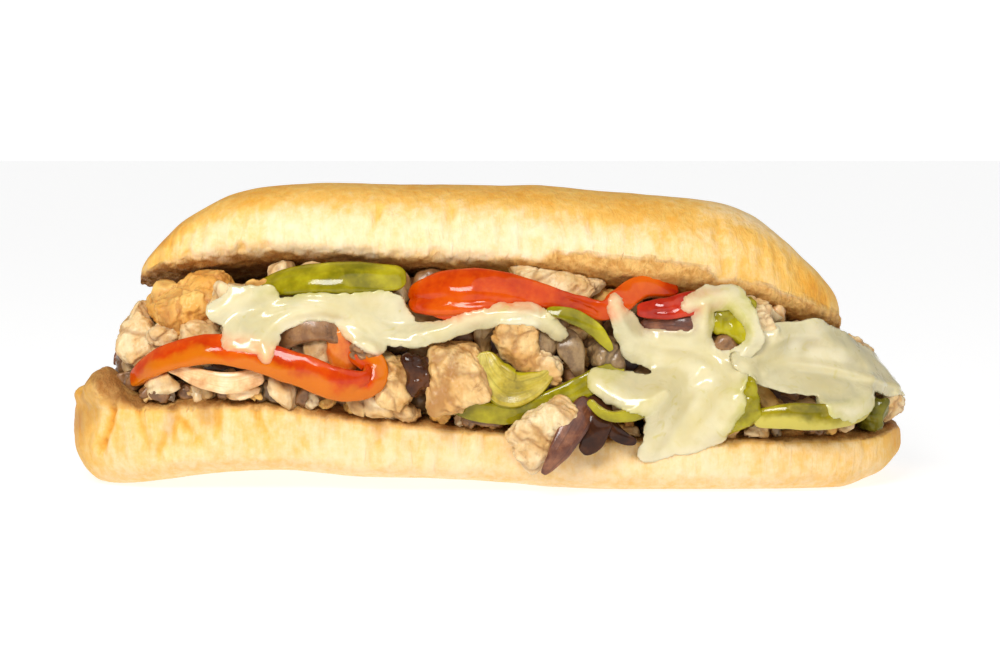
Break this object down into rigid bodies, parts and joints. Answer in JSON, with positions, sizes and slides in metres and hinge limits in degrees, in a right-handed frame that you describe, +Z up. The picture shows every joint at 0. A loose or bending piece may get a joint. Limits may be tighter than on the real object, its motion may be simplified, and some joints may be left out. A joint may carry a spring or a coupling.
{
  "type": "submarine sandwich",
  "caption": "Long bread roll in two halves around a heap of chopped chicken, pepper strips, onion and mushroom, with melted cheese that hangs over the front edge.",
  "frame": {"origin": "middle of the sandwich's box, on the plane that it rests on", "axes": "+X along the roll towards the end with the cheese tip, +Z up, -Y towards the side that shows the most filling"},
  "size_m": [0.2486, 0.0958, 0.0882],
  "materials": {
    "bun": "matte baked crust, golden on the crown and pale cream on the sides, with open crumb on the cut faces",
    "chicken": "satin cooked meat, cream with browned patches",
    "filling": "satin mixed chopped filling, moist and brown",
    "mushroom": "satin cooked mushroom",
    "pepper_red": "glossy red skin with orange flesh",
    "pepper_green": "glossy yellow-green skin",
    "pepper_dark": "glossy dark green skin",
    "onion": "glossy purple-brown cooked onion",
    "onion_white": "glossy pale translucent onion",
    "cheese": "smooth satin melted cheese"
  },
  "bodies": {
    "root": {"bun_bottom": "bun", "bun_top": "bun", "cheese_back": "cheese", "cheese_centre": "cheese", "cheese_left": "cheese", "cheese_right": "cheese", "chicken_back_a": "chicken", "chicken_back_b": "chicken", "chicken_back_c": "chicken", "chicken_back_end": "chicken", "chicken_back_left": "chicken", "chicken_end_left": "chicken", "chicken_front": "chicken", "chicken_hole_right": "chicken", "chicken_left_inner": "chicken", "chicken_left_mid": "chicken", "chicken_mid_big": "chicken", "chicken_mid_small": "chicken", "chicken_pale_left": "chicken", "chicken_right_corner": "chicken", "chicken_right_end": "chicken", "chicken_small": "chicken", "chicken_top_left": "chicken", "chicken_under_bun": "chicken", "chicken_upper": "chicken", "filling_heap": "filling", "mushroom_back": "mushroom", "mushroom_bead": "mushroom", "mushroom_end_left": "mushroom", "mushroom_grey": "mushroom", "mushroom_left": "mushroom", "mushroom_streaked": "mushroom", "mushroom_upper": "mushroom", "onion_back": "onion", "onion_bead": "onion", "onion_dark": "onion", "onion_dark_tail": "onion", "onion_end": "onion", "onion_front": "onion", "onion_under_red": "onion", "onion_white": "onion_white", "pepper_dark_right": "pepper_dark", "pepper_green_back": "pepper_green", "pepper_green_back_low": "pepper_green", "pepper_green_block": "pepper_green", "pepper_green_edge": "pepper_green", "pepper_green_hole": "pepper_green", "pepper_green_leaf": "pepper_green", "pepper_green_long": "pepper_green", "pepper_green_mid": "pepper_green", "pepper_green_right": "pepper_green", "pepper_green_top": "pepper_green", "pepper_red_back": "pepper_red", "pepper_red_end": "pepper_red", "pepper_red_fold": "pepper_red", "pepper_red_left": "pepper_red", "pepper_red_right": "pepper_red", "pepper_red_top": "pepper_red"}
  },
  "joints": []
}
